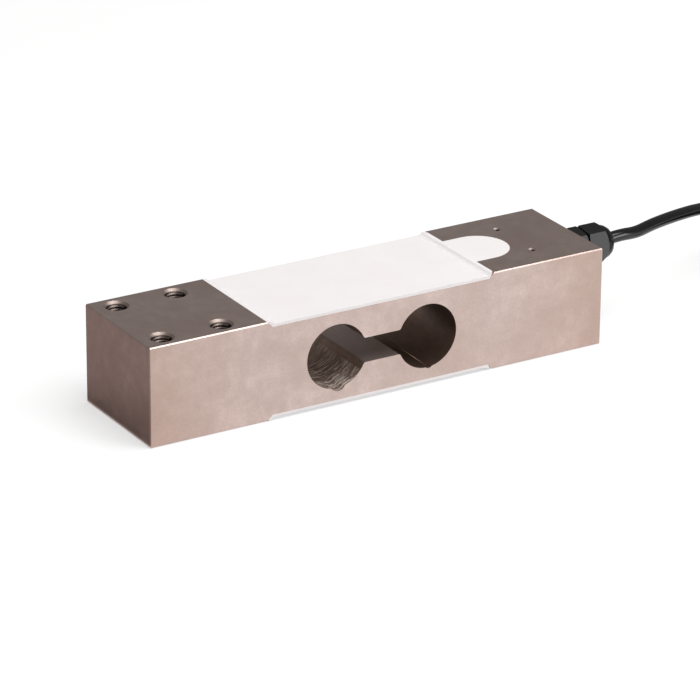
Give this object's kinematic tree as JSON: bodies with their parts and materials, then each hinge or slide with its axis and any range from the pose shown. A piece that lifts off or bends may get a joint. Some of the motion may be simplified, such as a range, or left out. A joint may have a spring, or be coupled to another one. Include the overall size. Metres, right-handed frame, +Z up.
{
  "type": "single point load cell",
  "caption": "Long steel binocular spring block with tapped holes at both ends, white gauge covers and a black cable from a gland, its spare length coiled and tied.",
  "frame": {"origin": "centre of the spring block's underside, which the cell stands on", "axes": "+X along the block towards the fixed end with the cable gland, +Y towards the back, +Z up through the load end's bolt holes"},
  "size_m": [0.3694, 0.0798, 0.04],
  "materials": {
    "nickel_plated_steel": "satin ground face with thin warm nickel plating",
    "white_silicone": "satin smooth",
    "gauge_foil": "translucent amber film with metal foil",
    "strip_laminate": "matte with tinned tabs",
    "enamelled_copper": "thin varnish",
    "board_laminate": "satin solder resist",
    "solder": "bright tin",
    "resistor_body": "lacquered",
    "black_nylon": "moulded, glossy",
    "black_rubber": "matte",
    "cable_sheath": "smooth, glossy",
    "core_mixed": "smooth insulation",
    "tie_fabric": "woven hook and loop",
    "heat_shrink": "satin",
    "core_red": "smooth insulation",
    "core_green": "smooth insulation",
    "core_white": "smooth insulation",
    "core_black": "smooth insulation",
    "tinned_copper": "bright tinned strands"
  },
  "bodies": {
    "root": {"board_pads": "solder", "bottom_cover": "white_silicone", "cable_coil": "cable_sheath", "cable_inner": "cable_sheath", "cable_run": "cable_sheath", "cable_tail": "cable_sheath", "coil_tie": "tie_fabric", "core_black": "core_black", "core_green": "core_green", "core_red": "core_red", "core_white": "core_white", "elastic_body": "nickel_plated_steel", "end_sleeve": "heat_shrink", "gauge_bottom_fixed_end": "gauge_foil", "gauge_bottom_load_end": "gauge_foil", "gauge_leads_bottom": "enamelled_copper", "gauge_leads_top": "enamelled_copper", "gauge_top_fixed_end": "gauge_foil", "gauge_top_load_end": "gauge_foil", "gland_body": "black_nylon", "gland_nut": "black_nylon", "gland_seal": "black_rubber", "gland_washer": "black_rubber", "inner_cores": "core_mixed", "shield_drain": "tinned_copper", "span_resistors": "resistor_body", "terminal_board": "board_laminate", "terminal_strip_bottom": "strip_laminate", "terminal_strip_top": "strip_laminate", "tinned_tips": "solder", "top_cover": "white_silicone", "zero_resistor": "resistor_body"}
  },
  "joints": []
}
